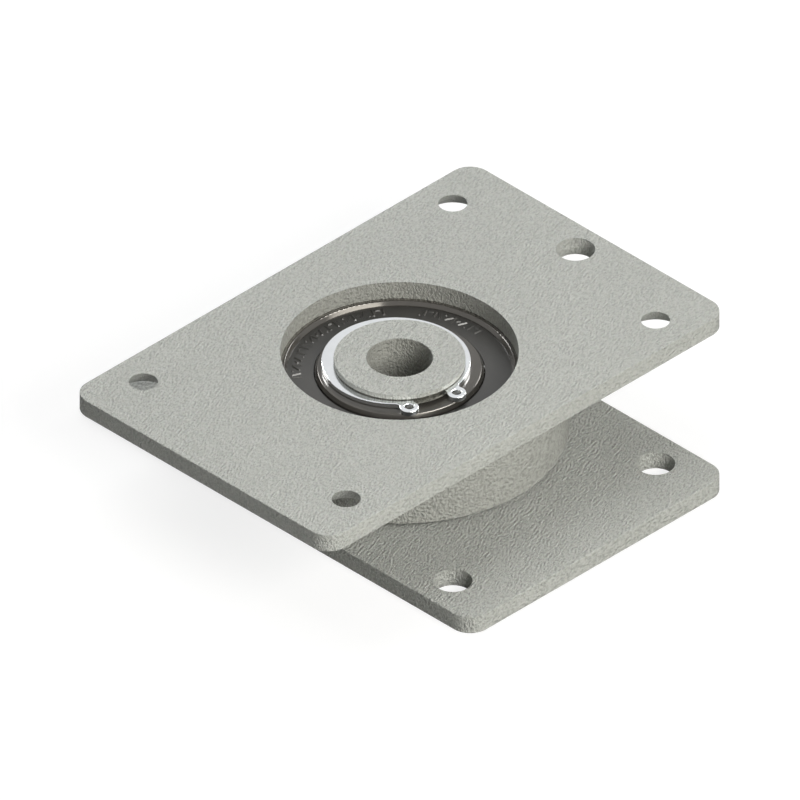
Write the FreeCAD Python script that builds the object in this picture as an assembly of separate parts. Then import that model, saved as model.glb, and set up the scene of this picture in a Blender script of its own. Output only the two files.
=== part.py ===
"""Turntable bearing for furniture: two crossed steel plates joined by a sealed ball bearing.

The origin is on the swivel axis at the lower plate's underside. +Z is up, and +X runs along
the upper plate's long side. All sizes are in millimetres.
"""

import FreeCAD, Part

import math
import os

# Both plates: equal rectangles with rounded corners, crossed at a right angle
plate_length = 150.0
plate_width = 97.0
plate_thickness = 5.25
plate_corner_radius = 6.0
plate_edge_radius = 0.25

# Upper plate: four screw holes countersunk from below, and one plain access hole
top_hole_dia = 7.8
top_hole_end_margin = 17.0
top_hole_side_margin = 10.5
countersink_dia = 15.5
countersink_angle = 75.0
access_hole_dia = 10.5
access_hole_end_margin = 9.0

# Lower plate: four plain bolt holes
bottom_hole_dia = 10.5
bottom_hole_end_margin = 17.0
bottom_hole_side_margin = 10.5

# Deep-groove ball bearing, bore by outside by width
bearing_bore = 35.0
bearing_od = 62.0
bearing_width = 14.0
bearing_corner_radius = 0.2
bearing_rim_radius = 0.35
ball_dia = 7.938
ball_count = 11
ball_clearance = 0.05
raceway_conformity = 1.033
inner_raceway_depth = 2.2
outer_raceway_depth = 1.79
inner_chamfer_width = 0.65
inner_chamfer_height = 1.0

# Pressed-steel cage in two halves, riveted between the balls
cage_sheet = 0.6
cage_pocket_clearance = 0.1
cage_land_gap = 0.6
rivet_dia = 1.2
rivet_head_dia = 2.2
rivet_head_height = 0.4

# Seals, one on each side of the balls, snapped into the outer ring
seal_thickness = 0.6
seal_cage_gap = 0.33
seal_bead = 0.25
seal_lip_gap = 0.3
seal_lip_width = 1.0
seal_lip_thickness = 0.3
seal_rim_width = 1.2
seal_rim_chamfer_width = 0.7
seal_rim_chamfer_height = 1.05

# Housing ring under the upper plate: a seat for the bearing with a lip below it
housing_wall = 14.0
housing_lip_thickness = 5.0
housing_lip_width = 3.5
housing_floor_gap = 2.3
seat_chamfer = 0.15
plate_opening_clearance = 0.65

# Turned hollow spindle on the lower plate
spindle_bore_dia = 17.6
spigot_wall = 6.2
spigot_recess = 0.25
spigot_clearance = 0.05
foot_step = 1.48
foot_edge_radius = 0.3
journal_fillet = 0.5
spindle_collar = 1.55
spindle_edge_radius = 0.2

# Retaining ring in its groove at the top of the spindle
ring_thickness = 1.5
ring_groove_play = 0.1
ring_groove_depth = 1.0
ring_edge_radius = 0.25
ring_back_width = 4.75
ring_front_width = 2.05
ring_swell_angle = 15.0
lug_height = 3.8
lug_radius = 2.6
lug_hole_dia = 2.4
lug_half_angle = 20.45
lug_end_setback_angle = 5.0
lug_blend_radius = 1.2
lug_gap_direction = -107.25

# Fillet welds at the foot of the spindle and round the housing
weld_leg = 3.0
weld_fullness = 0.6

# Radii that follow from the sizes above
bearing_bore_radius = bearing_bore / 2
bearing_outer_radius = bearing_od / 2
pitch_radius = (bearing_bore_radius + bearing_outer_radius) / 2
ball_radius = ball_dia / 2
raceway_radius = ball_radius * raceway_conformity
inner_land_radius = pitch_radius - ball_radius + inner_raceway_depth
outer_land_radius = pitch_radius + ball_radius - outer_raceway_depth
seal_wall_radius = bearing_outer_radius - seal_rim_width
seal_outer_radius = seal_wall_radius + seal_bead
seal_lip_radius = inner_land_radius + seal_lip_gap
housing_outer_radius = bearing_outer_radius + housing_wall
housing_lip_radius = bearing_outer_radius - housing_lip_width
plate_opening_radius = bearing_outer_radius + plate_opening_clearance
spindle_bore_radius = spindle_bore_dia / 2
spigot_radius = spindle_bore_radius + spigot_wall
foot_radius = inner_land_radius - foot_step
groove_radius = bearing_bore_radius - ring_groove_depth
cage_inner_radius = inner_land_radius + cage_land_gap
cage_outer_radius = outer_land_radius - cage_land_gap
pocket_radius = ball_radius + cage_pocket_clearance
pocket_outer_radius = pocket_radius + cage_sheet

# Heights that follow, from the floor up
lower_plate_top = plate_thickness
housing_bottom = lower_plate_top + housing_floor_gap
bearing_bottom = housing_bottom + housing_lip_thickness
bearing_top = bearing_bottom + bearing_width
bearing_middle = (bearing_bottom + bearing_top) / 2
upper_plate_bottom = bearing_top
groove_top = bearing_top + ring_thickness + ring_groove_play
spindle_top = groove_top + spindle_collar
seal_inner_offset = pocket_outer_radius + seal_cage_gap
seal_outer_offset = seal_inner_offset + seal_thickness

UP = FreeCAD.Vector(0, 0, 1)
ORIGIN = FreeCAD.Vector(0, 0, 0)


def flat_point(first, second):
    """A point of an outline drawn on the floor."""
    return FreeCAD.Vector(first, second, 0)


def section_point(first, second):
    """A point of a half section: its radius, then its height."""
    return FreeCAD.Vector(first, 0, second)


def corner_arc(before, corner, after, radius):
    """The start, middle and end of the arc that rounds a corner."""
    to_before = (before - corner).normalize()
    to_after = (after - corner).normalize()
    half_angle = to_before.getAngle(to_after) / 2
    inward = (to_before + to_after).normalize()
    tangent_length = radius / math.tan(half_angle)
    centre = corner + inward * (radius / math.sin(half_angle))
    start = corner + to_before * tangent_length
    end = corner + to_after * tangent_length
    return start, centre - inward * radius, end


def rounded_face(corners, point):
    """A flat face through corners of (first, second, radius), each rounded by its radius."""
    places = [point(first, second) for first, second, radius in corners]
    edges = []
    stops = []
    for index, (first, second, radius) in enumerate(corners):
        corner = places[index]
        if radius == 0:
            stops.append((corner, corner))
            continue
        start, middle, end = corner_arc(places[index - 1], corner, places[(index + 1) % len(places)], radius)
        edges.append(Part.Arc(start, middle, end).toShape())
        stops.append((start, end))
    for index, (start, end) in enumerate(stops):
        edges.append(Part.makeLine(stops[index - 1][1], start))
    return Part.Face(Part.Wire(Part.__sortEdges__(edges)))


def turned(corners):
    """A solid of revolution about the swivel axis from a half section."""
    return rounded_face(corners, section_point).revolve(ORIGIN, UP, 360)


def drilled(shape, places, radius, bottom, height):
    """The shape with one plain hole at each place."""
    for x, y in places:
        shape = shape.cut(Part.makeCylinder(radius, height, FreeCAD.Vector(x, y, bottom)))
    return shape


def rectangle_places(half_x, half_y):
    """The four corners of a bolt rectangle."""
    return [(x, y) for x in (-half_x, half_x) for y in (-half_y, half_y)]


def ring_places(count, offset):
    """Points on the bearing's pitch circle, offset by a share of one spacing."""
    angles = [2 * math.pi * (index + offset) / count for index in range(count)]
    return [(pitch_radius * math.cos(angle), pitch_radius * math.sin(angle)) for angle in angles]


def plate_blank(half_x, half_y, bottom):
    """A plate with rounded corners and eased edges all round its outline."""
    r = plate_corner_radius
    corners = [(-half_x, -half_y, r), (half_x, -half_y, r), (half_x, half_y, r), (-half_x, half_y, r)]
    blank = rounded_face(corners, flat_point).extrude(UP * plate_thickness)
    outline = [edge for edge in blank.Edges if edge.BoundBox.ZLength < plate_thickness / 2]
    blank = blank.makeFillet(plate_edge_radius, outline)
    blank.translate(UP * bottom)
    return blank


def make_bottom_plate():
    """The lower plate, long side along Y, with its bolt holes and the hole for the spigot."""
    plate = plate_blank(plate_width / 2, plate_length / 2, 0)
    half_x = plate_width / 2 - bottom_hole_side_margin
    half_y = plate_length / 2 - bottom_hole_end_margin
    plate = drilled(plate, rectangle_places(half_x, half_y), bottom_hole_dia / 2, 0, plate_thickness)
    return drilled(plate, [(0, 0)], spigot_radius + spigot_clearance, 0, plate_thickness)


def make_top_plate():
    """The upper plate, long side along X: countersunk holes, access hole and bearing opening."""
    plate = plate_blank(plate_length / 2, plate_width / 2, upper_plate_bottom)
    half_x = plate_length / 2 - top_hole_end_margin
    half_y = plate_width / 2 - top_hole_side_margin
    screw_places = rectangle_places(half_x, half_y)
    plate = drilled(plate, screw_places, top_hole_dia / 2, upper_plate_bottom, plate_thickness)
    mouth_radius = countersink_dia / 2
    cone_depth = (mouth_radius - top_hole_dia / 2) / math.tan(math.radians(countersink_angle / 2))
    for x, y in screw_places:
        mouth = FreeCAD.Vector(x, y, upper_plate_bottom)
        plate = plate.cut(Part.makeCone(mouth_radius, top_hole_dia / 2, cone_depth, mouth))
    access_place = (plate_length / 2 - access_hole_end_margin, 0)
    plate = drilled(plate, [access_place], access_hole_dia / 2, upper_plate_bottom, plate_thickness)
    return drilled(plate, [(0, 0)], plate_opening_radius, upper_plate_bottom, plate_thickness)


def make_bearing_housing():
    """The turned ring under the upper plate, with the bearing's seat and the lip below it."""
    return turned([
        (housing_lip_radius, housing_bottom, 0),
        (housing_outer_radius, housing_bottom, 0),
        (housing_outer_radius, bearing_top, 0),
        (bearing_outer_radius + seat_chamfer, bearing_top, 0),
        (bearing_outer_radius, bearing_top - seat_chamfer, 0),
        (bearing_outer_radius, bearing_bottom, 0),
        (housing_lip_radius, bearing_bottom, 0),
    ])


def make_spindle():
    """The hollow spindle: spigot, foot under the inner ring, journal, ring groove and collar."""
    return turned([
        (spindle_bore_radius, spigot_recess, 0),
        (spigot_radius, spigot_recess, 0),
        (spigot_radius, lower_plate_top, 0),
        (foot_radius, lower_plate_top, 0),
        (foot_radius, bearing_bottom, foot_edge_radius),
        (bearing_bore_radius, bearing_bottom, journal_fillet),
        (bearing_bore_radius, bearing_top, 0),
        (groove_radius, bearing_top, 0),
        (groove_radius, groove_top, 0),
        (bearing_bore_radius, groove_top, 0),
        (bearing_bore_radius, spindle_top, spindle_edge_radius),
        (spindle_bore_radius, spindle_top, spindle_edge_radius),
    ])


def make_spindle_weld():
    """The fillet weld between the spindle's foot and the lower plate."""
    full = weld_leg * weld_fullness
    return turned([
        (foot_radius, lower_plate_top, 0),
        (foot_radius + weld_leg, lower_plate_top, 0),
        (foot_radius + full, lower_plate_top + full, weld_leg),
        (foot_radius, lower_plate_top + weld_leg, 0),
    ])


def make_housing_weld():
    """The fillet weld between the housing and the upper plate's underside."""
    full = weld_leg * weld_fullness
    return turned([
        (housing_outer_radius, upper_plate_bottom - weld_leg, 0),
        (housing_outer_radius + full, upper_plate_bottom - full, weld_leg),
        (housing_outer_radius + weld_leg, upper_plate_bottom, 0),
        (housing_outer_radius, upper_plate_bottom, 0),
    ])


def make_inner_ring():
    """The bearing's inner ring with its raceway, each chamfer rounded where it meets the face."""
    face_radius = inner_land_radius - inner_chamfer_width
    ring = turned([
        (bearing_bore_radius, bearing_bottom, bearing_corner_radius),
        (face_radius, bearing_bottom, bearing_rim_radius),
        (inner_land_radius, bearing_bottom + inner_chamfer_height, 0),
        (inner_land_radius, bearing_top - inner_chamfer_height, 0),
        (face_radius, bearing_top, bearing_rim_radius),
        (bearing_bore_radius, bearing_top, bearing_corner_radius),
    ])
    raceway_centre = pitch_radius - ball_radius - ball_clearance + raceway_radius
    middle = FreeCAD.Vector(0, 0, bearing_middle)
    return ring.cut(Part.makeTorus(raceway_centre, raceway_radius, middle, UP))


def make_outer_ring():
    """The bearing's outer ring with its raceway and a snap groove for each seal."""
    low_in = bearing_middle - seal_inner_offset
    low_out = bearing_middle - seal_outer_offset
    high_in = bearing_middle + seal_inner_offset
    high_out = bearing_middle + seal_outer_offset
    face_radius = seal_wall_radius + seal_rim_chamfer_width
    ring = turned([
        (bearing_outer_radius, bearing_bottom, bearing_corner_radius),
        (bearing_outer_radius, bearing_top, bearing_corner_radius),
        (face_radius, bearing_top, bearing_rim_radius),
        (seal_wall_radius, bearing_top - seal_rim_chamfer_height, 0),
        (seal_wall_radius, high_out, 0),
        (seal_outer_radius, high_out, 0),
        (seal_outer_radius, high_in, 0),
        (outer_land_radius, high_in, 0),
        (outer_land_radius, low_in, 0),
        (seal_outer_radius, low_in, 0),
        (seal_outer_radius, low_out, 0),
        (seal_wall_radius, low_out, 0),
        (seal_wall_radius, bearing_bottom + seal_rim_chamfer_height, 0),
        (face_radius, bearing_bottom, bearing_rim_radius),
    ])
    raceway_centre = pitch_radius + ball_radius + ball_clearance - raceway_radius
    middle = FreeCAD.Vector(0, 0, bearing_middle)
    return ring.cut(Part.makeTorus(raceway_centre, raceway_radius, middle, UP))


def make_seal(side):
    """One seal, with a thinner lip beside the inner ring. Side is 1 above the balls, -1 below."""
    inside = bearing_middle + side * seal_inner_offset
    outside = bearing_middle + side * seal_outer_offset
    lip_inside = outside - side * seal_lip_thickness
    return turned([
        (seal_outer_radius, inside, 0),
        (seal_outer_radius, outside, 0),
        (seal_lip_radius, outside, 0),
        (seal_lip_radius, lip_inside, 0),
        (seal_lip_radius + seal_lip_width, lip_inside, 0),
        (seal_lip_radius + seal_lip_width, inside, 0),
    ])


def make_ball(x, y):
    """One ball of the bearing."""
    return Part.makeSphere(ball_radius, FreeCAD.Vector(x, y, bearing_middle))


def cage_band(height):
    """A flat ring between the lands, standing on the bearing's middle plane."""
    middle = FreeCAD.Vector(0, 0, bearing_middle)
    outside = Part.makeCylinder(cage_outer_radius, height, middle)
    return outside.cut(Part.makeCylinder(cage_inner_radius, height, middle))


def make_cage_half(side):
    """One pressed half of the cage: a flat ring with a round pocket over each ball."""
    middle = FreeCAD.Vector(0, 0, bearing_middle)
    ball_centres = [FreeCAD.Vector(x, y, bearing_middle) for x, y in ring_places(ball_count, 0)]
    domes = Part.makeCompound([Part.makeSphere(pocket_outer_radius, place) for place in ball_centres])
    hollows = [Part.makeSphere(pocket_radius, place) for place in ball_centres]
    half = cage_band(cage_sheet).fuse(cage_band(pocket_outer_radius).common(domes).Solids)
    half = half.cut(hollows)
    half = drilled(half, ring_places(ball_count, 0.5), rivet_dia / 2, bearing_middle, cage_sheet)
    half = half.removeSplitter()
    if side < 0:
        half = half.mirror(middle, UP)
    return half


def make_cage_rivets():
    """The rivets between the pockets, each with a tapered head at both ends."""
    shank = rivet_dia / 2
    head = rivet_head_dia / 2
    tip = cage_sheet + rivet_head_height
    rivet = turned([
        (0, -tip, 0),
        (shank, -tip, 0),
        (head, -cage_sheet, 0),
        (shank, -cage_sheet, 0),
        (shank, cage_sheet, 0),
        (head, cage_sheet, 0),
        (shank, tip, 0),
        (0, tip, 0),
    ])
    places = ring_places(ball_count, 0.5)
    return Part.makeCompound([rivet.translated(FreeCAD.Vector(x, y, bearing_middle)) for x, y in places])


def slab(face):
    """A flat face on the floor made as thick as the retaining ring."""
    return face.extrude(UP * ring_thickness)


def disc(centre, radius):
    """A round of the retaining ring's thickness."""
    return Part.makeCylinder(radius, ring_thickness, centre)


def lug_blend(body_centre, body_radius, lug_centre):
    """The fillet that leads from the ring's outer edge into one lug."""
    toward_lug = lug_centre - body_centre
    distance = toward_lug.Length
    reach_body = body_radius + lug_blend_radius
    reach_lug = lug_radius + lug_blend_radius
    along = (distance ** 2 + reach_body ** 2 - reach_lug ** 2) / (2 * distance)
    across = math.sqrt(reach_body ** 2 - along ** 2)
    ahead = toward_lug.normalize()
    aside = UP.cross(ahead) * math.copysign(1, lug_centre.x)
    blend_centre = body_centre + ahead * along + aside * across
    body_touch = body_centre + (blend_centre - body_centre).normalize() * body_radius
    lug_touch = lug_centre + (blend_centre - lug_centre).normalize() * lug_radius
    root = body_centre + ahead * (body_radius - ring_front_width / 2)
    corners = [root, lug_centre, lug_touch, blend_centre, body_touch, root]
    return slab(Part.Face(Part.makePolygon(corners))).cut(disc(blend_centre, lug_blend_radius))


def make_retaining_ring():
    """The open spring ring: wide at the back, narrow at the front, with an eyed lug at each end."""
    # Its widest place lies the swell angle off the line opposite the gap
    back_radius = groove_radius + ring_back_width
    front_radius = groove_radius + ring_front_width
    body_radius = (back_radius + front_radius) / 2
    off_centre = (back_radius - front_radius) / 2
    swell = math.radians(ring_swell_angle)
    body_centre = FreeCAD.Vector(-off_centre * math.sin(swell), off_centre * math.cos(swell), 0)
    lug_circle = groove_radius + lug_height
    end_angle = math.radians(lug_half_angle - lug_end_setback_angle)
    reach = 2 * body_radius
    mouth_x = reach * math.tan(end_angle)
    mouth = [ORIGIN, FreeCAD.Vector(mouth_x, -reach, 0), FreeCAD.Vector(-mouth_x, -reach, 0), ORIGIN]
    ring = disc(body_centre, body_radius).cut(slab(Part.Face(Part.makePolygon(mouth))))
    holes = []
    drawn_gap_direction = -90
    for side in (-1, 1):
        angle = math.radians(drawn_gap_direction + side * lug_half_angle)
        lug_centre = FreeCAD.Vector(lug_circle * math.cos(angle), lug_circle * math.sin(angle), 0)
        ring = ring.fuse([disc(lug_centre, lug_radius), lug_blend(body_centre, body_radius, lug_centre)])
        holes.append(disc(lug_centre, lug_hole_dia / 2))
    ring = ring.cut([disc(ORIGIN, groove_radius)] + holes).removeSplitter()
    flat_edges = [edge for edge in ring.Edges if edge.BoundBox.ZLength < ring_thickness / 2]
    ring = ring.makeFillet(ring_edge_radius, flat_edges)
    ring.rotate(ORIGIN, UP, lug_gap_direction - drawn_gap_direction)
    ring.translate(UP * bearing_top)
    return ring


def make_parts():
    """Every piece of the turntable bearing, by name."""
    parts = {
        "bottom_plate": make_bottom_plate(),
        "spindle": make_spindle(),
        "spindle_weld": make_spindle_weld(),
        "inner_ring": make_inner_ring(),
        "retaining_ring": make_retaining_ring(),
        "top_plate": make_top_plate(),
        "bearing_housing": make_bearing_housing(),
        "housing_weld": make_housing_weld(),
        "outer_ring": make_outer_ring(),
        "upper_seal": make_seal(1),
        "lower_seal": make_seal(-1),
        "cage_upper": make_cage_half(1),
        "cage_lower": make_cage_half(-1),
        "cage_rivets": make_cage_rivets(),
    }
    for number, (x, y) in enumerate(ring_places(ball_count, 0), start=1):
        parts["ball_%02d" % number] = make_ball(x, y)
    return parts


os.makedirs("parts", exist_ok=True)
for name, shape in make_parts().items():
    print(name, "valid" if shape.isValid() else "broken", len(shape.Solids), "solids", round(shape.Volume, 2))
    shape.exportStep("parts/" + name + ".step")
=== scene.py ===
"""Finishes, welds and studio for a turntable bearing: two coated plates that swivel on a sealed ball bearing.

The frame holds the turned, pressed and cut pieces. This script gives each of them its finish, with painted
shade in the coat's pits, recesses and shaded pieces, replaces the plain weld rings with rippled beads, raises
plain marks on the seals, and lights and frames the whole.
Lengths are in metres, unless a name or a docstring says millimetres.
"""

import logging
import math
from abc import ABC, abstractmethod
from dataclasses import dataclass, field, replace
from enum import Enum

import bmesh
import bpy
from mathutils import Matrix, Vector

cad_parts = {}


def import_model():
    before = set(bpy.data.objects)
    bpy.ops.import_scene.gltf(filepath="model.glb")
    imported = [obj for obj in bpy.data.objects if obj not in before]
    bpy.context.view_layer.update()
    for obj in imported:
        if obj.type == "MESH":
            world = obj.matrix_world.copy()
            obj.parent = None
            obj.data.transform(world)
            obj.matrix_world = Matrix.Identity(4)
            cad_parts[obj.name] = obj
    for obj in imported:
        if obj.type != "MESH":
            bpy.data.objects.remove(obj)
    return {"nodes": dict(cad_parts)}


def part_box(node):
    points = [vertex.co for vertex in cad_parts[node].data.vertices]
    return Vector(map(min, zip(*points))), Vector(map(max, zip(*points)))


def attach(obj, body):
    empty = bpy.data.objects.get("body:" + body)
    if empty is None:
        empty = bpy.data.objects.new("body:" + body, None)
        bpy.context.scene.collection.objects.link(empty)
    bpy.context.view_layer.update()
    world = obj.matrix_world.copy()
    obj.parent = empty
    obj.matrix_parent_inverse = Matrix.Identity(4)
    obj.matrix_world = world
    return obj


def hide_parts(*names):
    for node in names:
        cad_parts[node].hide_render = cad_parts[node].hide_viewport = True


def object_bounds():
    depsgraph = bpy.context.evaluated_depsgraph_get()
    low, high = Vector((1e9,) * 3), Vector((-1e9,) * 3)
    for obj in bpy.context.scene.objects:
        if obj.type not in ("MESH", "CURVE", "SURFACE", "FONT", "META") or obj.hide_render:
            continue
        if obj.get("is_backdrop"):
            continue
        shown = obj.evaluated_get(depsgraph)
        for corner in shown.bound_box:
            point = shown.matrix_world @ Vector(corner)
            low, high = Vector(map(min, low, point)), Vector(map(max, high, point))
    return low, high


MM = 0.001
FULL_TURN = 2 * math.pi

# The photograph's frame is a square of 800 pixels, seen along the diagonal of a cube with no perspective
FRAME_PIXELS = 800
PIXELS_PER_METRE = 3771.3
# The pixel where the swivel axis meets the upper plate's face
AXIS_PIXEL_X = 399.5
AXIS_PIXEL_Y = 350.9
VIEW_AHEAD = Vector((1, 1, -1)).normalized()
VIEW_RIGHT = Vector((1, -1, 0)).normalized()
VIEW_UP = Vector((1, 1, 2)).normalized()

Colour = tuple[float, float, float, float]
InputValue = float | Colour | tuple[float, float, float] | bpy.types.NodeSocket

log = logging.getLogger("turntable_bearing")


class Blend(Enum):
    """How two colours are mixed."""

    COVER = "MIX"
    TINT = "MULTIPLY"


@dataclass
class NodeBench:
    """Adds the nodes of one node tree and joins them."""

    tree: bpy.types.NodeTree

    def add(
        self, kind: str, inputs: dict[str | int, InputValue] | None = None, **settings: object
    ) -> bpy.types.Node:
        """Adds one node and fills its inputs.

        Args:
            kind: the node's type name.
            inputs: by socket name or number, a value to set or an output socket to join.
            settings: the node's own properties.

        Returns:
            The new node.
        """
        node = self.tree.nodes.new(kind)
        for name, value in settings.items():
            setattr(node, name, value)
        for name, value in (inputs or {}).items():
            if isinstance(value, bpy.types.NodeSocket):
                self.tree.links.new(value, node.inputs[name])
            else:
                node.inputs[name].default_value = value
        return node

    def math(self, operation: str, *values: InputValue) -> bpy.types.NodeSocket:
        """Adds a Math node.

        Args:
            operation: the Math node's operation.
            values: its inputs in order.

        Returns:
            The result's socket.
        """
        return self.add("ShaderNodeMath", dict(enumerate(values)), operation=operation).outputs[0]

    def mix_values(self, share: InputValue, first: InputValue, second: InputValue) -> bpy.types.NodeSocket:
        """Mixes two numbers.

        Args:
            share: how much of the second number counts, from 0 to 1.
            first: the number at 0.
            second: the number at 1.

        Returns:
            The mixed number's socket.
        """
        # A Mix node's numbers are its inputs 2 and 3 and its output 0
        return self.add("ShaderNodeMix", {0: share, 2: first, 3: second}).outputs[0]

    def mix_colours(
        self, share: InputValue, first: InputValue, second: InputValue, way: Blend = Blend.COVER
    ) -> bpy.types.NodeSocket:
        """Mixes two colours.

        Args:
            share: how much of the second colour shows, from 0 to 1.
            first: the colour at 0.
            second: the colour at 1, or the tint at 1.
            way: whether the second colour covers the first or tints it.

        Returns:
            The mixed colour's socket.
        """
        # A Mix node's colours are its inputs 6 and 7 and its output 2
        inputs = {0: share, 6: first, 7: second}
        return self.add("ShaderNodeMix", inputs, data_type="RGBA", blend_type=way.value).outputs[2]

    def mix_shaders(self, share: InputValue, first: InputValue, second: InputValue) -> bpy.types.NodeSocket:
        """Mixes two shaders.

        Args:
            share: how much of the second shader shows, from 0 to 1.
            first: the shader at 0.
            second: the shader at 1.

        Returns:
            The mixed shader's socket.
        """
        return self.add("ShaderNodeMixShader", {0: share, 1: first, 2: second}).outputs[0]

    def spread(
        self, value: InputValue, at_start: float, at_end: float, start: float = 0.0, end: float = 1.0
    ) -> bpy.types.NodeSocket:
        """Spreads one range of a value over another, and holds it at both ends.

        Args:
            value: the value.
            at_start: the result where the value is at its start.
            at_end: the result where the value is at its end.
            start: the value's start.
            end: the value's end.

        Returns:
            The result's socket.
        """
        limits = {"From Min": start, "From Max": end, "To Min": at_start, "To Max": at_end}
        return self.add("ShaderNodeMapRange", {"Value": value, **limits}).outputs["Result"]

    def noise(self, place: InputValue, scale: InputValue, detail: float) -> bpy.types.NodeSocket:
        """Adds a cloudy pattern.

        Args:
            place: the coordinates that it reads.
            scale: how many of its features fit in a metre.
            detail: how many finer layers lie on it.

        Returns:
            The pattern's socket, with values about a half.
        """
        return self.add("ShaderNodeTexNoise", {"Vector": place, "Scale": scale, "Detail": detail}).outputs[0]

    def relief(self, height: InputValue, depth: float) -> bpy.types.NodeSocket:
        """Raises a pattern on the surface.

        Args:
            height: the pattern, from 0 to 1.
            depth: how far 1 stands above 0.

        Returns:
            The bent normal's socket.
        """
        return self.add("ShaderNodeBump", {"Distance": depth, "Height": height}).outputs[0]


class Effect(Enum):
    """The surface effects that several finishes share."""

    COAT_GRAIN = "coat_grain"
    TURNED_LINES = "turned_lines"
    CLOUDING = "clouding"
    NEAR_AXIS = "near_axis"


@dataclass
class EffectShelf:
    """Builds each shared effect once, as a node group with named inputs and outputs."""

    # How the coat's wrinkles lean in plan, and how far they are drawn out along each axis
    grain_lean: float = math.radians(15)
    grain_stretch: tuple[float, float, float] = (1.8, 1.0, 1.3)
    # How many times finer the fine wrinkles are
    fine_factor: float = 1.9
    tone_patch: float = 14 * MM
    # The grain's heights between which the painted shade in its hollows goes from full to none
    pit_bottom: float = 0.36
    pit_edge: float = 0.58
    # The upward part of a face's normal, under which the face counts as upright
    upright_limit: float = 0.5
    made: dict[Effect, bpy.types.NodeTree] = field(default_factory=dict)

    def place(self, bench: NodeBench, effect: Effect, **values: float) -> bpy.types.Node:
        """Puts an effect into a material.

        Args:
            bench: the material's node bench.
            effect: which effect.
            values: its inputs, by name, with underscores for spaces.

        Returns:
            The group's node.
        """
        builders = {
            Effect.COAT_GRAIN: self._coat_grain,
            Effect.TURNED_LINES: self._turned_lines,
            Effect.CLOUDING: self._clouding,
            Effect.NEAR_AXIS: self._near_axis,
        }
        if effect not in self.made:
            self.made[effect] = builders[effect]()
        inputs = {name.replace("_", " ").title(): value for name, value in values.items()}
        return bench.add("ShaderNodeGroup", inputs, node_tree=self.made[effect])

    def _start(
        self, effect: Effect, inputs: dict[str, float], outputs: list[str]
    ) -> tuple[NodeBench, bpy.types.Node]:
        """Makes an empty group.

        Args:
            effect: which effect it is for.
            inputs: the inputs' names and first values.
            outputs: the outputs' names.

        Returns:
            The group's bench and its input node.
        """
        tree = bpy.data.node_groups.new(effect.value, "ShaderNodeTree")
        for name, value in inputs.items():
            socket = tree.interface.new_socket(name, in_out="INPUT", socket_type="NodeSocketFloat")
            socket.default_value = value
        for name in outputs:
            tree.interface.new_socket(name, in_out="OUTPUT", socket_type="NodeSocketFloat")
        bench = NodeBench(tree)
        return bench, bench.add("NodeGroupInput")

    def _per_metre(self, bench: NodeBench, size_mm: bpy.types.NodeSocket) -> bpy.types.NodeSocket:
        """The pattern scale that gives features of a size in millimetres."""
        return bench.math("DIVIDE", 1 / MM, size_mm)

    def _from_axis(self, bench: NodeBench) -> tuple[bpy.types.NodeSocket, bpy.types.NodeSocket]:
        """Finds where the surface lies about the swivel axis.

        Args:
            bench: the group's node bench.

        Returns:
            The sockets of its distance from the axis and of its height.
        """
        seen = bench.add("ShaderNodeTexCoord").outputs["Object"]
        parts = bench.add("ShaderNodeSeparateXYZ", {0: seen}).outputs
        squares = [bench.math("POWER", parts[name], 2.0) for name in ("X", "Y")]
        return bench.math("SQRT", bench.math("ADD", *squares)), parts["Z"]

    def _coat_grain(self) -> bpy.types.NodeTree:
        """The wrinkled grain of a rough powder coat, with painted shade in its pits and a slow change of
        tone.

        Returns:
            The group's node tree.
        """
        first_values = {"Grain": 0.5, "Fine Share": 0.2}
        bench, given = self._start(Effect.COAT_GRAIN, first_values, ["Height", "Pit Shade", "Tone"])
        seen = bench.add("ShaderNodeTexCoord").outputs["Object"]
        drawn_out = bench.add(
            "ShaderNodeMapping",
            {"Vector": seen, "Rotation": (0, 0, self.grain_lean), "Scale": self.grain_stretch},
            vector_type="TEXTURE",
        )
        place = drawn_out.outputs[0]
        scale = self._per_metre(bench, given.outputs["Grain"])
        fine_scale = bench.math("MULTIPLY", scale, self.fine_factor)
        coarse = bench.noise(place, scale, detail=1.0)
        fine = bench.noise(place, fine_scale, detail=1.0)
        height = bench.mix_values(given.outputs["Fine Share"], coarse, fine)
        # Painted shade: the coat darkens towards the bottoms of the grain's pits
        pits = bench.spread(height, at_start=1.0, at_end=0.0, start=self.pit_bottom, end=self.pit_edge)
        tone = bench.noise(place, 1 / self.tone_patch, detail=1.0)
        bench.add("NodeGroupOutput", {"Height": height, "Pit Shade": pits, "Tone": tone})
        return bench.tree

    def _turned_lines(self) -> bpy.types.NodeTree:
        """Fine rings about the swivel axis, as turning and grinding leave them.

        Returns:
            The group's node tree.
        """
        bench, given = self._start(Effect.TURNED_LINES, {"Pitch": 0.12}, ["Height"])
        radius, height = self._from_axis(bench)
        place = bench.add("ShaderNodeCombineXYZ", {"X": radius, "Z": height}).outputs[0]
        lines = bench.noise(place, self._per_metre(bench, given.outputs["Pitch"]), detail=2.0)
        bench.add("NodeGroupOutput", {"Height": lines})
        return bench.tree

    def _clouding(self) -> bpy.types.NodeTree:
        """Soft uneven patches, as oil, handling and moulding leave them.

        Returns:
            The group's node tree.
        """
        bench, given = self._start(Effect.CLOUDING, {"Patch": 4.0}, ["Mask"])
        seen = bench.add("ShaderNodeTexCoord").outputs["Object"]
        clouds = bench.noise(seen, self._per_metre(bench, given.outputs["Patch"]), detail=3.0)
        bench.add("NodeGroupOutput", {"Mask": clouds})
        return bench.tree

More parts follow.
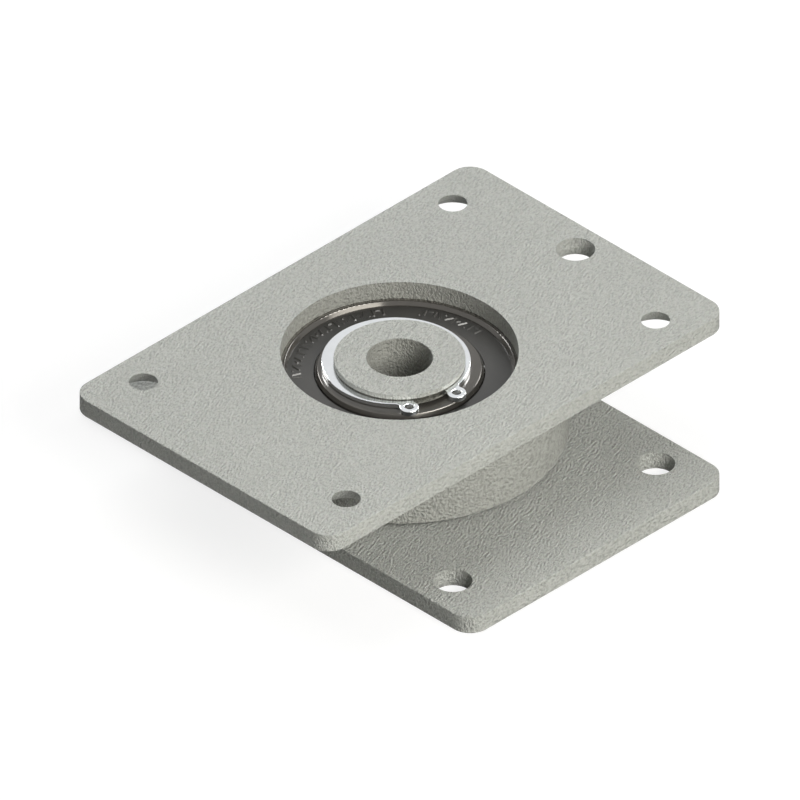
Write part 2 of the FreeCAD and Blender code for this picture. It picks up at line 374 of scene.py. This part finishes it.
    def _near_axis(self) -> bpy.types.NodeTree:
        """One between two radii about the swivel axis and two heights, on every face or on upright walls.

        Returns:
            The group's node tree.
        """
        first_values = {"Inner Radius": 0.0, "Outer Radius": 0.03, "Bottom": 0.0, "Top": 0.1}
        bench, given = self._start(Effect.NEAR_AXIS, first_values, ["Mask", "Walls"])
        radius, height = self._from_axis(bench)
        mask = bench.math("LESS_THAN", radius, given.outputs["Outer Radius"])
        for operation, measure, limit in (
            ("GREATER_THAN", radius, "Inner Radius"),
            ("GREATER_THAN", height, "Bottom"),
            ("LESS_THAN", height, "Top"),
        ):
            mask = bench.math("MULTIPLY", mask, bench.math(operation, measure, given.outputs[limit]))
        normal = bench.add("ShaderNodeTexCoord").outputs["Normal"]
        facing_up = bench.add("ShaderNodeSeparateXYZ", {0: normal}).outputs["Z"]
        upright = bench.math("LESS_THAN", bench.math("ABSOLUTE", facing_up), self.upright_limit)
        bench.add("NodeGroupOutput", {"Mask": mask, "Walls": bench.math("MULTIPLY", mask, upright)})
        return bench.tree


def empty_material(name: str) -> tuple[bpy.types.Material, NodeBench]:
    """Makes a material with no nodes.

    Args:
        name: the material's name.

    Returns:
        The material and its node bench.
    """
    material = bpy.data.materials.new(name)
    material.use_nodes = True
    material.node_tree.nodes.clear()
    return material, NodeBench(material.node_tree)


class Finish(ABC):
    """A surface finish that becomes one material."""

    name: str

    @abstractmethod
    def surface(self, bench: NodeBench, shelf: EffectShelf) -> dict[str, InputValue]:
        """Works out the surface shader's inputs.

        Args:
            bench: the material's node bench.
            shelf: the shared effects.

        Returns:
            A value or a socket for each input, by its name.
        """

    def make(self, shelf: EffectShelf) -> bpy.types.Material:
        """Makes the material.

        Args:
            shelf: the shared effects.

        Returns:
            The material.
        """
        material, bench = empty_material(self.name)
        shader = bench.add("ShaderNodeBsdfPrincipled", self.surface(bench, shelf))
        bench.add("ShaderNodeOutputMaterial", {"Surface": shader.outputs[0]})
        return material


@dataclass(frozen=True)
class InnerZone:
    """A zone of a coated piece about the swivel axis, between two radii and two heights.

    Its tint multiplies the coat's colour as painted shade, on the zone's upright walls alone or, where it is
    bare steel, on every face of it, where the tint gives the bare steel's own colour together with painted
    shade.
    """

    inner_radius: float
    outer_radius: float
    bottom: float
    top: float
    tint: Colour
    bare_steel: bool = False

    def mask(self, bench: NodeBench, shelf: EffectShelf) -> bpy.types.NodeSocket:
        """Marks the faces that take the tint.

        Args:
            bench: the material's node bench.
            shelf: the shared effects.

        Returns:
            A socket that is one on those faces and zero elsewhere.
        """
        zone = shelf.place(
            bench,
            Effect.NEAR_AXIS,
            inner_radius=self.inner_radius,
            outer_radius=self.outer_radius,
            bottom=self.bottom,
            top=self.top,
        )
        return zone.outputs["Mask" if self.bare_steel else "Walls"]


@dataclass(frozen=True)
class PowderCoat(Finish):
    """Rough grey powder coat over steel, rougher in its pits than on its grains, with painted shade in its
    pits and, through its zones, in its recesses.
    """

    name: str
    pale: Colour
    deep: Colour
    pit_shade: Colour
    grain_mm: float = 0.58
    grain_depth: float = 1.0 * MM
    roughness_on_grains: float = 0.62
    roughness_in_pits: float = 0.8
    gloss: float = 0.12
    zones: tuple[InnerZone, ...] = ()

    def surface(self, bench: NodeBench, shelf: EffectShelf) -> dict[str, InputValue]:
        """Works out the surface shader's inputs.

        Args:
            bench: the material's node bench.
            shelf: the shared effects.

        Returns:
            A value or a socket for each input, by its name.
        """
        grain = shelf.place(bench, Effect.COAT_GRAIN, grain=self.grain_mm).outputs
        raised = bench.mix_colours(grain["Tone"], self.deep, self.pale)
        surface = {
            # Painted shade: the grain's pits take a darker colour
            "Base Color": bench.mix_colours(grain["Pit Shade"], raised, self.pit_shade),
            "Roughness": bench.spread(grain["Height"], self.roughness_in_pits, self.roughness_on_grains),
            "Specular IOR Level": self.gloss,
            "Normal": bench.relief(grain["Height"], self.grain_depth),
        }
        # Each zone's tint is painted shade, laid over bare steel where the zone has no coat
        for zone in self.zones:
            mask = zone.mask(bench, shelf)
            surface["Base Color"] = bench.mix_colours(mask, surface["Base Color"], zone.tint, Blend.TINT)
            if zone.bare_steel:
                surface["Metallic"] = mask
        return surface


@dataclass(frozen=True)
class BrightSteel(Finish):
    """Bright steel with soft patches, such as a spring ring, a ball or a pressed cage."""

    name: str
    pale: Colour
    deep: Colour
    patch_mm: float
    roughness_low: float
    roughness_high: float
    metallic: float = 1.0

    def surface(self, bench: NodeBench, shelf: EffectShelf) -> dict[str, InputValue]:
        """Works out the surface shader's inputs.

        Args:
            bench: the material's node bench.
            shelf: the shared effects.

        Returns:
            A value or a socket for each input, by its name.
        """
        clouds = shelf.place(bench, Effect.CLOUDING, patch=self.patch_mm).outputs["Mask"]
        return {
            "Base Color": bench.mix_colours(clouds, self.deep, self.pale),
            "Metallic": self.metallic,
            "Roughness": bench.spread(clouds, self.roughness_low, self.roughness_high),
        }


@dataclass(frozen=True)
class GroundSteel(BrightSteel):
    """Steel with fine turned or ground rings about the axis."""

    line_pitch_mm: float = 0.12
    line_depth: float = 0.0006 * MM

    def surface(self, bench: NodeBench, shelf: EffectShelf) -> dict[str, InputValue]:
        """Works out the surface shader's inputs.

        Args:
            bench: the material's node bench.
            shelf: the shared effects.

        Returns:
            A value or a socket for each input, by its name.
        """
        lines = shelf.place(bench, Effect.TURNED_LINES, pitch=self.line_pitch_mm).outputs["Height"]
        return {**super().surface(bench, shelf), "Normal": bench.relief(lines, self.line_depth)}


@dataclass(frozen=True)
class MouldedRubber(Finish):
    """Dark moulded rubber, smooth with a slight bloom."""

    name: str
    pale: Colour
    deep: Colour
    patch_mm: float = 3.0
    skin_grain_mm: float = 0.35
    skin_depth: float = 0.004 * MM
    roughness_low: float = 0.28
    roughness_high: float = 0.38
    gloss: float = 0.4

    def surface(self, bench: NodeBench, shelf: EffectShelf) -> dict[str, InputValue]:
        """Works out the surface shader's inputs.

        Args:
            bench: the material's node bench.
            shelf: the shared effects.

        Returns:
            A value or a socket for each input, by its name.
        """
        clouds = shelf.place(bench, Effect.CLOUDING, patch=self.patch_mm).outputs["Mask"]
        skin = shelf.place(bench, Effect.COAT_GRAIN, grain=self.skin_grain_mm).outputs["Height"]
        return {
            "Base Color": bench.mix_colours(clouds, self.deep, self.pale),
            "Roughness": bench.spread(clouds, self.roughness_low, self.roughness_high),
            "Specular IOR Level": self.gloss,
            "Normal": bench.relief(skin, self.skin_depth),
        }


# Tints of painted shade: for a recessed wall, and for a turned recess and a ground seat that are bare steel
# darkened by painted shade
RECESS_SHADE_TINT = (0.73, 0.72, 0.70, 1)
BARE_STEEL_SHADE_TINT = (0.20, 0.19, 0.18, 1)
SEAT_STEEL_SHADE_TINT = (0.34, 0.33, 0.31, 1)

# The upper plate's opening wall and the spindle's bore take painted shade
OPENING_WALL_SHADE = InnerZone(
    inner_radius=31 * MM, outer_radius=32 * MM, bottom=20 * MM, top=40 * MM, tint=RECESS_SHADE_TINT
)
SPINDLE_BORE_SHADE = InnerZone(inner_radius=0.0, outer_radius=9.2 * MM, bottom=0.0, top=40 * MM, tint=RECESS_SHADE_TINT)
# The spindle's seat under the collar and the housing's recess are bare steel, darkened by painted shade
SPINDLE_BARE_SEAT_SHADE = InnerZone(
    inner_radius=16 * MM,
    outer_radius=18 * MM,
    bottom=12 * MM,
    top=28.4 * MM,
    tint=SEAT_STEEL_SHADE_TINT,
    bare_steel=True,
)
HOUSING_BARE_RECESS_SHADE = InnerZone(
    inner_radius=0.0, outer_radius=31.8 * MM, bottom=20 * MM, top=40 * MM, tint=BARE_STEEL_SHADE_TINT, bare_steel=True
)

PLATE_COAT = PowderCoat(
    "plate_coat", pale=(0.51, 0.52, 0.495, 1), deep=(0.48, 0.49, 0.466, 1), pit_shade=(0.40, 0.41, 0.388, 1)
)
# The upper plate's coat, with painted shade on its opening's wall
OPENING_SHADED_COAT = replace(PLATE_COAT, name="opening_shaded_coat", zones=(OPENING_WALL_SHADE,))
# The lower plate's coat, with deeper painted shade in its pits, as it lies under the upper plate
LOWER_SHADED_COAT = replace(PLATE_COAT, name="lower_shaded_coat", pit_shade=(0.355, 0.365, 0.343, 1))
# The spindle's coat, with painted shade in its bore and on its bare seat
SPINDLE_SHADED_COAT = replace(PLATE_COAT, name="spindle_shaded_coat", zones=(SPINDLE_BORE_SHADE, SPINDLE_BARE_SEAT_SHADE))
# The housing's coat is darker throughout as painted shade between the plates, and its bare recess has painted
# shade too
HOUSING_SHADED_COAT = replace(
    PLATE_COAT,
    name="housing_shaded_coat",
    pale=(0.42, 0.425, 0.40, 1),
    deep=(0.385, 0.39, 0.365, 1),
    pit_shade=(0.30, 0.305, 0.283, 1),
    zones=(HOUSING_BARE_RECESS_SHADE,),
)
WELD_COAT = replace(PLATE_COAT, name="weld_coat", grain_mm=0.48)
BEARING_STEEL = GroundSteel(
    "bearing_steel",
    pale=(0.094, 0.088, 0.079, 1),
    deep=(0.078, 0.073, 0.066, 1),
    patch_mm=5.0,
    roughness_low=0.10,
    roughness_high=0.18,
    metallic=0.45,
)
SPRING_STEEL = BrightSteel(
    "spring_steel",
    pale=(0.75, 0.77, 0.785, 1),
    deep=(0.68, 0.70, 0.715, 1),
    patch_mm=3.0,
    roughness_low=0.12,
    roughness_high=0.18,
)
BALL_STEEL = BrightSteel(
    "ball_steel",
    pale=(0.66, 0.66, 0.66, 1),
    deep=(0.60, 0.60, 0.60, 1),
    patch_mm=2.0,
    roughness_low=0.03,
    roughness_high=0.07,
)
CAGE_STEEL = BrightSteel(
    "cage_steel",
    pale=(0.58, 0.57, 0.54, 1),
    deep=(0.50, 0.49, 0.47, 1),
    patch_mm=1.5,
    roughness_low=0.28,
    roughness_high=0.40,
)
SEAL_RUBBER = MouldedRubber("seal_rubber", pale=(0.046, 0.045, 0.042, 1), deep=(0.036, 0.035, 0.033, 1))


def add_object(bm: bmesh.types.BMesh, name: str) -> bpy.types.Object:
    """Turns a bmesh into an object of the scene.

    Args:
        bm: the shape, in place in the frame. It is freed.
        name: the object's name.

    Returns:
        The new object.
    """
    mesh = bpy.data.meshes.new(name)
    bm.to_mesh(mesh)
    bm.free()
    made = bpy.data.objects.new(name, mesh)
    bpy.context.scene.collection.objects.link(made)
    return made


def give_finish(piece: bpy.types.Object, material: bpy.types.Material) -> None:
    """Gives a piece its one material."""
    piece.data.materials.clear()
    piece.data.materials.append(material)


def add_piece(
    bm: bmesh.types.BMesh, name: str, body: str, material: bpy.types.Material
) -> bpy.types.Object:
    """Turns a bmesh into a finished piece that rides on a body.

    Args:
        bm: the shape, in place in the frame. It is freed.
        name: the piece's name.
        body: the body that it rides on.
        material: its material.

    Returns:
        The new piece.
    """
    piece = add_object(bm, name)
    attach(piece, body)
    give_finish(piece, material)
    log.info("%s: %d faces", piece.name, len(piece.data.polygons))
    return piece


@dataclass(frozen=True)
class WeldBead:
    """A fillet weld with crescent ripples, in place of one of the frame's plain weld rings."""

    name: str
    node: str
    body: str
    on_plate_below: bool
    ripple_pitch: float = 1.4 * MM
    ripple_depth: float = 0.16 * MM
    # How far a ripple's two ends are shifted from its middle, in radians of its wave
    crescent: float = 2.2
    # How far the face bulges, from 0 for a flat face to 1 for a quarter circle
    fullness: float = 0.45
    steps_across: int = 9
    steps_per_ripple: int = 6
    # A face that points this nearly along the axis, or straight away from it, is on one of the bead's backs
    back_limit: float = 0.98

    def build(self, material: bpy.types.Material) -> bpy.types.Object:
        """Models the bead and dresses it.

        Args:
            material: the coat over the weld.

        Returns:
            The bead.
        """
        low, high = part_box(self.node)
        leg = high.z - low.z
        root_radius = high.x - leg
        root_height = low.z if self.on_plate_below else high.z
        ripples = round(FULL_TURN * (root_radius + leg / 2) / self.ripple_pitch)
        bm = bmesh.new()
        share = bm.verts.layers.float.new("share")
        bmesh.ops.spin(
            bm,
            geom=self.draw_section(bm, share, leg, root_radius, root_height),
            cent=(0, 0, 0),
            axis=(0, 0, 1),
            angle=FULL_TURN,
            steps=ripples * self.steps_per_ripple,
            use_merge=True,
        )
        bmesh.ops.recalc_face_normals(bm, faces=bm.faces)
        for vert in bm.verts:
            self.press_ripple(vert, vert[share], ripples)
        for face in bm.faces:
            face.smooth = max(abs(face.normal.z), face.normal.xy.length) < self.back_limit
        bead = add_piece(bm, self.name, self.body, material)
        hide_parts(self.node)
        return bead

    def draw_section(
        self,
        bm: bmesh.types.BMesh,
        share: bmesh.types.BMLayerItem,
        leg: float,
        root_radius: float,
        root_height: float,
    ) -> list[bmesh.types.BMVert | bmesh.types.BMEdge]:
        """Draws the bead's section, from its root to one toe and over its bulging face to the other.

        Args:
            bm: the bead's empty mesh.
            share: the layer that keeps where a point lies across the face.
            leg: how far the bead reaches from its root along both pieces.
            root_radius: how far the corner between the two pieces lies from the swivel axis.
            root_height: the height of that corner.

        Returns:
            The section's points and edges.
        """
        rise = leg if self.on_plate_below else -leg
        points = [bm.verts.new((root_radius, 0, root_height))]
        for step in range(self.steps_across + 1):
            part = step / self.steps_across
            turn = part * math.pi / 2
            out = (1 - self.fullness) * (1 - part) + self.fullness * math.cos(turn)
            up = (1 - self.fullness) * part + self.fullness * math.sin(turn)
            point = bm.verts.new((root_radius + leg * out, 0, root_height + rise * up))
            point[share] = part
            points.append(point)
        return points + [bm.edges.new((points[index - 1], points[index])) for index in range(len(points))]

    def press_ripple(self, vert: bmesh.types.BMVert, part: float, ripples: int) -> None:
        """Sinks one point of the bead's face between two crescents.

        Args:
            vert: the point.
            part: where it lies across the bead, 0 at one toe and 1 at the other.
            ripples: how many ripples go round the bead.
        """
        if not 0 < part < 1:
            return
        phase = ripples * math.atan2(vert.co.y, vert.co.x) + self.crescent * (2 * part - 1) ** 2
        depth = self.ripple_depth * math.sin(math.pi * part) * (0.5 - 0.5 * math.cos(phase)) ** 2
        outward = vert.co.xy.normalized()
        tilt = part * math.pi / 2
        sign = 1 if self.on_plate_below else -1
        vert.co -= depth * Vector((*(outward * math.cos(tilt)), sign * math.sin(tilt)))


class MarkForm(Enum):
    """The plain marks that stand up from a seal: the size along and across the ring, in millimetres."""

    STROKE = (0.8, 2.9)
    TICK = (0.8, 1.5)
    DOT = (0.85, 0.85)


@dataclass(frozen=True)
class SealMarks:
    """Groups of plain raised marks moulded on the face of a seal."""

    name: str
    node: str
    body: str
    facing_up: bool
    height: float = 0.3 * MM
    sunk: float = 0.05 * MM
    slope: float = 0.32 * MM
    inner_row: float = 26.4 * MM
    outer_row: float = 28.4 * MM
    spacing_degrees: float = 2.9
    dot_sides: int = 12
    # Where each band of marks starts, in degrees, and how many marks it has
    bands: tuple[tuple[float, int], ...] = ((54.0, 31), (-4.0, 14), (178.0, 4))
    # Each mark's form, its place between the rows, and how far it leans off the radius in degrees
    pattern: tuple[tuple[MarkForm, float, float], ...] = (
        (MarkForm.STROKE, 0.5, 0.0),
        (MarkForm.TICK, 1.0, 90.0),
        (MarkForm.STROKE, 0.5, 0.0),
        (MarkForm.DOT, 0.0, 0.0),
        (MarkForm.STROKE, 0.5, -30.0),
        (MarkForm.TICK, 0.6, -45.0),
        (MarkForm.STROKE, 0.5, 0.0),
        (MarkForm.STROKE, 0.5, -45.0),
        (MarkForm.DOT, 1.0, 0.0),
        (MarkForm.STROKE, 0.5, 20.0),
    )

    def build(self, material: bpy.types.Material) -> bpy.types.Object:
        """Models the marks and dresses them.

        Args:
            material: the seal's rubber.

        Returns:
            The marks, as one piece.
        """
        low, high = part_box(self.node)
        face = high.z if self.facing_up else low.z
        turn_over = Matrix.Identity(4) if self.facing_up else Matrix.Rotation(math.pi, 4, "X")
        bm = bmesh.new()
        for start, count in self.bands:
            for number in range(count):
                form, row, lean = self.pattern[number % len(self.pattern)]
                angle = math.radians(start + number * self.spacing_degrees)
                radius = self.inner_row + row * (self.outer_row - self.inner_row)
                on_seal = Matrix.Translation((0, 0, face)) @ turn_over @ Matrix.Rotation(angle, 4, "Z")
                leaning = Matrix.Translation((radius, 0, 0)) @ Matrix.Rotation(math.radians(lean), 4, "Z")
                bmesh.ops.transform(bm, verts=self.raise_mark(bm, form), matrix=on_seal @ leaning)
        return add_piece(bm, self.name, self.body, material)

    def raise_mark(self, bm: bmesh.types.BMesh, form: MarkForm) -> list[bmesh.types.BMVert]:
        """Adds one mark with sloping sides, standing on the origin.

        Args:
            bm: the marks so far.
            form: the mark's form.

        Returns:
            The mark's points.
        """
        along, across = (size * MM for size in form.value)
        round_mark = form is MarkForm.DOT
        # A mark is one unit wide before it is scaled, and a square's corners lie further out than its sides
        radius = 0.5 if round_mark else math.sqrt(0.5)
        made = bmesh.ops.create_cone(
            bm,
            cap_ends=True,
            segments=self.dot_sides if round_mark else 4,
            radius1=radius,
            radius2=radius,
            depth=1,
            matrix=Matrix.Rotation(0 if round_mark else math.pi / 4, 4, "Z"),
        )
        for vert in made["verts"]:
            top = vert.co.z > 0
            narrower = 2 * self.slope if top else 0
            vert.co.x *= across - narrower
            vert.co.y *= along - narrower
            vert.co.z = self.height if top else -self.sunk
        return made["verts"]


@dataclass
class PlatesAndSpindle:
    """The coated pieces: both plates, the bearing's housing and the spindle, with their welds."""

    coats: tuple[tuple[str, PowderCoat], ...] = (
        ("top_plate", OPENING_SHADED_COAT),
        ("bottom_plate", LOWER_SHADED_COAT),
        ("spindle", SPINDLE_SHADED_COAT),
        ("bearing_housing", HOUSING_SHADED_COAT),
    )
    beads: tuple[WeldBead, ...] = (
        WeldBead("spindle_weld_bead", "spindle_weld", "base", on_plate_below=True),
        WeldBead("housing_weld_bead", "housing_weld", "turntable", on_plate_below=False),
    )

    def dress(self, nodes: dict[str, bpy.types.Object], shelf: EffectShelf) -> None:
        """Coats the frame's pieces and adds the weld beads.

        Args:
            nodes: the frame's pieces, by name.
            shelf: the shared effects.
        """
        for name, coat in self.coats:
            give_finish(nodes[name], coat.make(shelf))
            log.info("%s: %s", name, coat.name)
        weld_coat = WELD_COAT.make(shelf)
        for bead in self.beads:
            bead.build(weld_coat)


@dataclass
class SealedBearing:
    """The ball bearing with its seals, and the retaining ring that holds it on the spindle."""

    rings: tuple[str, ...] = ("inner_ring", "outer_ring")
    seals: tuple[str, ...] = ("upper_seal", "lower_seal")
    cage: tuple[str, ...] = ("cage_upper", "cage_lower", "cage_rivets")
    marks: tuple[SealMarks, ...] = (
        SealMarks("upper_seal_marks", "upper_seal", "turntable", facing_up=True),
        SealMarks("lower_seal_marks", "lower_seal", "turntable", facing_up=False),
    )

    def dress(self, nodes: dict[str, bpy.types.Object], shelf: EffectShelf) -> None:
        """Gives the bearing's pieces their finishes and adds the seals' marks.

        Args:
            nodes: the frame's pieces, by name.
            shelf: the shared effects.
        """
        balls = tuple(name for name in nodes if name.startswith("ball_"))
        rubber = SEAL_RUBBER.make(shelf)
        finishes = (
            (self.rings, BEARING_STEEL.make(shelf)),
            (self.seals, rubber),
            (self.cage, CAGE_STEEL.make(shelf)),
            (balls, BALL_STEEL.make(shelf)),
            (("retaining_ring",), SPRING_STEEL.make(shelf)),
        )
        for names, material in finishes:
            for name in names:
                give_finish(nodes[name], material)
                log.info("%s: %s", name, material.name)
        for marks in self.marks:
            marks.build(rubber)


@dataclass(frozen=True)
class Softbox:
    """A flat lamp that faces the object from one direction, given in degrees.

    A mirrored lamp shows only in shiny surfaces. The others give only diffuse light.
    """

    name: str
    azimuth: float
    elevation: float
    width: float
    height: float
    power: float
    colour: tuple[float, float, float] = (1.0, 1.0, 1.0)
    distance: float = 0.8
    mirrored: bool = False

    def place(self, target: Vector) -> None:
        """Hangs the lamp.

        Args:
            target: the point that it faces.
        """
        lamp = bpy.data.lights.new(self.name, "AREA")
        lamp.shape = "RECTANGLE"
        lamp.size = self.width
        lamp.size_y = self.height
        lamp.energy = self.power
        lamp.color = self.colour
        holder = bpy.data.objects.new(self.name, lamp)
        azimuth = math.radians(self.azimuth)
        elevation = math.radians(self.elevation)
        level = math.cos(elevation)
        toward = Vector((level * math.cos(azimuth), level * math.sin(azimuth), math.sin(elevation)))
        holder.location = target + toward * self.distance
        holder.rotation_euler = (-toward).to_track_quat("-Z", "Y").to_euler()
        holder.visible_camera = False
        holder.visible_glossy = self.mirrored
        holder.visible_diffuse = not self.mirrored
        bpy.context.scene.collection.objects.link(holder)


@dataclass
class Studio:
    """A white room with a pale floor, soft lamps and the camera."""

    ambient: Colour = (0.012, 0.012, 0.012, 1)
    white: Colour = (1, 1, 1, 1)
    # What is seen of the floor is partly lit by the lamps and partly its own glow
    floor_lit: Colour = (0.9, 0.9, 0.9, 1)
    floor_glow: Colour = (1.12, 1.12, 1.12, 1)
    glow_share: float = 0.72
    # The floor's colour in the light that it throws back on the object
    floor_bounce: Colour = (0.36, 0.36, 0.36, 1)
    floor_size: float = 3.0
    floor_drop: float = 0.1 * MM
    camera_distance: float = 0.6
    # The nearest and the furthest that the camera sees
    camera_reach: tuple[float, float] = (10 * MM, 10.0)
    # Each lamp's name, azimuth, elevation, width, height, power and colour
    softboxes: tuple[Softbox, ...] = (
        Softbox("key_softbox", -101, 31, 0.5, 0.4, 6.8, (1.0, 0.985, 0.935)),
        Softbox("sky_softbox", 75, 52, 0.8, 0.8, 5.2, (0.99, 1.0, 1.0)),
        Softbox("side_softbox", 15, 25, 0.6, 0.4, 1.2),
        Softbox("cone_strip", -88, 36, 0.7, 0.3, 5.0, (1.0, 0.97, 0.90), mirrored=True),
        Softbox("rim_strip", -64, 58, 0.5, 0.4, 14.0, (1.0, 0.985, 0.95), mirrored=True),
        Softbox("right_glint", 8, 33, 0.3, 0.12, 2.4, mirrored=True),
        Softbox("left_glint", 82, 33, 0.3, 0.12, 2.4, mirrored=True),
    )

    def seen_share(self, bench: NodeBench) -> bpy.types.NodeSocket:
        """One where a camera, mirror or glass ray arrives, and zero elsewhere.

        Args:
            bench: the node bench of the world or a material.

        Returns:
            The share's socket.
        """
        path = bench.add("ShaderNodeLightPath").outputs
        mirrored = bench.math("MAXIMUM", path["Is Glossy Ray"], path["Is Transmission Ray"])
        return bench.math("MAXIMUM", path["Is Camera Ray"], mirrored)

    def paint_world(self) -> None:
        """Makes the room white to the camera and to mirrors, and a plain ambient level elsewhere."""
        world = bpy.data.worlds.new("studio_room")
        bpy.context.scene.world = world
        world.use_nodes = True
        world.node_tree.nodes.clear()
        bench = NodeBench(world.node_tree)
        room = bench.add("ShaderNodeBackground", {"Color": self.ambient})
        seen = bench.add("ShaderNodeBackground", {"Color": self.white})
        surface = bench.mix_shaders(self.seen_share(bench), room.outputs[0], seen.outputs[0])
        bench.add("ShaderNodeOutputWorld", {"Surface": surface})

    def make_floor_material(self) -> bpy.types.Material:
        """Makes a floor that is near white to the eye and throws less light back on the object.

        It is clear from below, and it stops no lamp's light.

        Returns:
            The material.
        """
        material, bench = empty_material("studio_floor")
        lit = bench.add("ShaderNodeBsdfDiffuse", {"Color": self.floor_lit}).outputs[0]
        glow = bench.add("ShaderNodeEmission", {"Color": self.floor_glow}).outputs[0]
        seen = bench.mix_shaders(self.glow_share, lit, glow)
        bounce = bench.add("ShaderNodeBsdfDiffuse", {"Color": self.floor_bounce}).outputs[0]
        from_above = bench.mix_shaders(self.seen_share(bench), bounce, seen)
        clear = bench.add("ShaderNodeBsdfTransparent").outputs[0]
        below = bench.add("ShaderNodeNewGeometry").outputs["Backfacing"]
        shadow_ray = bench.add("ShaderNodeLightPath").outputs["Is Shadow Ray"]
        surface = bench.mix_shaders(bench.math("MAXIMUM", below, shadow_ray), from_above, clear)
        bench.add("ShaderNodeOutputMaterial", {"Surface": surface})
        return material

    def lay_floor(self) -> None:
        """Lays the pale floor, which keeps the object's shadow."""
        bm = bmesh.new()
        bmesh.ops.create_grid(bm, x_segments=1, y_segments=1, size=self.floor_size / 2)
        bmesh.ops.translate(bm, verts=bm.verts, vec=(0, 0, -self.floor_drop))
        floor = add_object(bm, "studio_floor")
        give_finish(floor, self.make_floor_material())
        floor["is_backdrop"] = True

    def set_camera(self, top: float) -> None:
        """Sets the camera, so that the swivel axis at the top face falls on its pixel.

        Args:
            top: the height of the upper plate's face.
        """
        camera = bpy.data.cameras.new("photo_view")
        camera.type = "ORTHO"
        camera.ortho_scale = FRAME_PIXELS / PIXELS_PER_METRE
        camera.clip_start, camera.clip_end = self.camera_reach
        holder = bpy.data.objects.new("photo_view", camera)
        right = (FRAME_PIXELS / 2 - AXIS_PIXEL_X) / PIXELS_PER_METRE
        down = (FRAME_PIXELS / 2 - AXIS_PIXEL_Y) / PIXELS_PER_METRE
        centre = Vector((0, 0, top)) + VIEW_RIGHT * right - VIEW_UP * down
        holder.location = centre - VIEW_AHEAD * self.camera_distance
        holder.rotation_euler = Matrix((VIEW_RIGHT, VIEW_UP, -VIEW_AHEAD)).transposed().to_euler()
        bpy.context.scene.collection.objects.link(holder)
        bpy.context.scene.camera = holder

    def build(self, top: float) -> None:
        """Builds the room, the lamps and the camera.

        Args:
            top: the height of the upper plate's face.
        """
        bpy.context.scene.view_settings.view_transform = "Standard"
        self.paint_world()
        self.lay_floor()
        for softbox in self.softboxes:
            softbox.place(Vector((0, 0, top / 2)))
        self.set_camera(top)
        log.info("studio: %d lamps", len(self.softboxes))


def main() -> None:
    """Dresses the frame, adds the modelled details and sets up the studio."""
    logging.basicConfig(level=logging.INFO, format="%(message)s")
    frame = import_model()
    cad_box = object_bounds()
    shelf = EffectShelf()
    PlatesAndSpindle().dress(frame["nodes"], shelf)
    SealedBearing().dress(frame["nodes"], shelf)
    Studio().build(cad_box[1].z)


if __name__ == "__main__":
    main()
